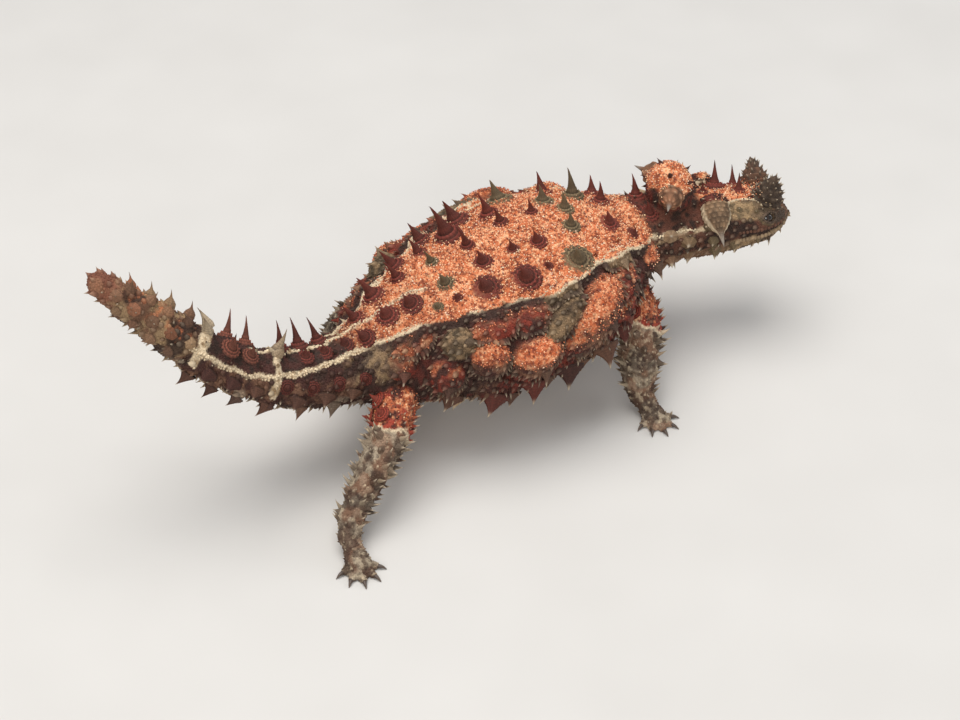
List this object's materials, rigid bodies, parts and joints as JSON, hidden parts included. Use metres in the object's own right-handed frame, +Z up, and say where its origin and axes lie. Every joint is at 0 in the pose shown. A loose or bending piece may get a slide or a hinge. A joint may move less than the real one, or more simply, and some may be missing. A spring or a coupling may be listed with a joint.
{
  "type": "thorny devil lizard model",
  "caption": "Still, life-size thorny devil lizard in a slow walking stance, tail raised and head turned, with thorns over its whole body.",
  "frame": {"origin": "bottom centre of the whole animal's box, on the floor between its feet", "axes": "+X forward along the trunk, towards the head; +Y to the animal's left; +Z up"},
  "size_m": [0.145, 0.0732, 0.0562],
  "materials": {
    "hide_body": "dry scaly hide, orange sand over dark red-brown blotches",
    "hide_head": "dry scaly hide, sandy crown, olive-brown cheeks",
    "hide_tail": "dry scaly hide, dark blotches between cream lines",
    "hide_legs": "dry scaly hide, grey-brown and granular",
    "eye_dark": "wet, nearly black"
  },
  "bodies": {
    "root": {"head": "hide_head", "eye_right": "eye_dark", "eye_left": "eye_dark", "neck": "hide_body", "neck_knob": "hide_body", "torso": "hide_body", "tail_base": "hide_tail", "tail_mid": "hide_tail", "tail_tip": "hide_tail", "thigh_hind_right": "hide_legs", "shin_hind_right": "hide_legs", "foot_hind_right": "hide_legs", "thigh_hind_left": "hide_legs", "shin_hind_left": "hide_legs", "foot_hind_left": "hide_legs", "upper_arm_fore_right": "hide_legs", "forearm_fore_right": "hide_legs", "hand_fore_right": "hide_legs", "upper_arm_fore_left": "hide_legs", "forearm_fore_left": "hide_legs", "hand_fore_left": "hide_legs"}
  },
  "joints": []
}
